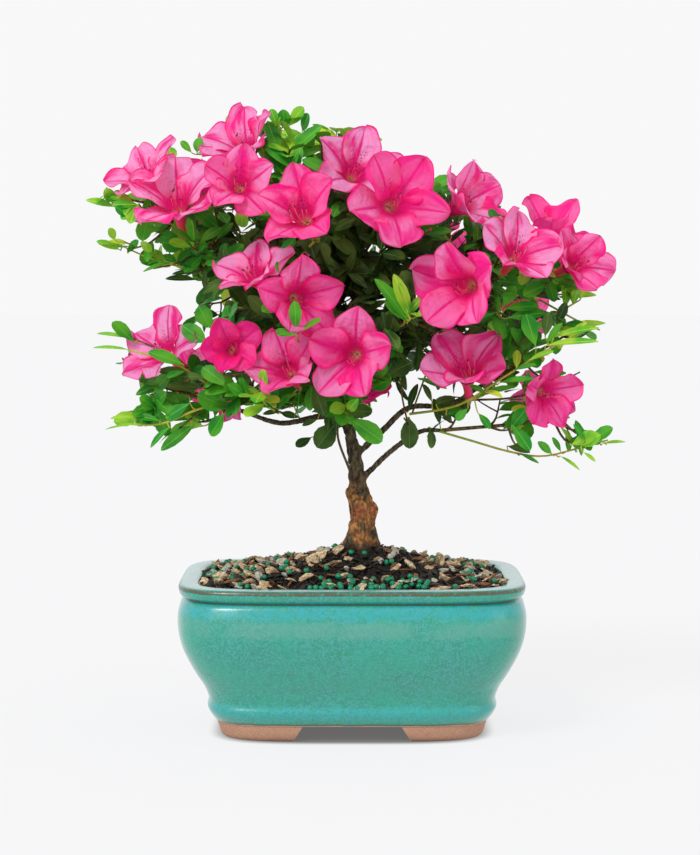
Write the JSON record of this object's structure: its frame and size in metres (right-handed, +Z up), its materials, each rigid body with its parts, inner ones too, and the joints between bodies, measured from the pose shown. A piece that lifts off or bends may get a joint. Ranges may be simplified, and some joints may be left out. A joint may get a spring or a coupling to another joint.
{
  "type": "azalea bonsai",
  "caption": "Small flowering azalea tree with a tapering trunk, arching boughs and loose masses of leaves and open blooms, in a glazed oblong pot on short clay feet.",
  "frame": {"origin": "under the middle of the whole plant's box, on the surface that the pot's feet stand on", "axes": "+Z up along the trunk, +X to the right as the picture shows the plant, -Y towards its viewer"},
  "size_m": [0.3122, 0.1854, 0.3717],
  "materials": {
    "glaze": "glossy mottled turquoise glaze over red-brown clay, bare on the feet",
    "soil": "coarse dark bark mix with pumice stones and green fertiliser pellets",
    "bark": "rough grey-brown bark, rust-brown in patches near the soil",
    "foliage": "satin green leaves and soft pink blooms"
  },
  "bodies": {
    "root": {"pot": "glaze", "soil": "soil", "trunk": "bark", "bough_upper_left": "bark", "bough_top_left": "bark", "bough_top": "bark", "bough_top_right": "bark", "bough_upper_right": "bark", "bough_right": "bark", "bough_lower_right": "bark", "bough_middle_right": "bark", "bough_front": "bark", "bough_middle_left": "bark", "bough_lower_left": "bark", "bough_low_left_front": "bark", "bough_back_left": "bark", "bough_back": "bark", "bough_back_right": "bark", "bough_low_back": "bark", "mass_upper_left": "foliage", "mass_top_left": "foliage", "mass_top": "foliage", "mass_top_right": "foliage", "mass_upper_right": "foliage", "mass_right": "foliage", "mass_lower_right": "foliage", "mass_middle_right": "foliage", "mass_front": "foliage", "mass_middle_left": "foliage", "mass_lower_left": "foliage", "mass_low_left_front": "foliage", "mass_back_left": "foliage", "mass_back": "foliage", "mass_back_right": "foliage", "mass_low_back": "foliage"}
  },
  "joints": []
}
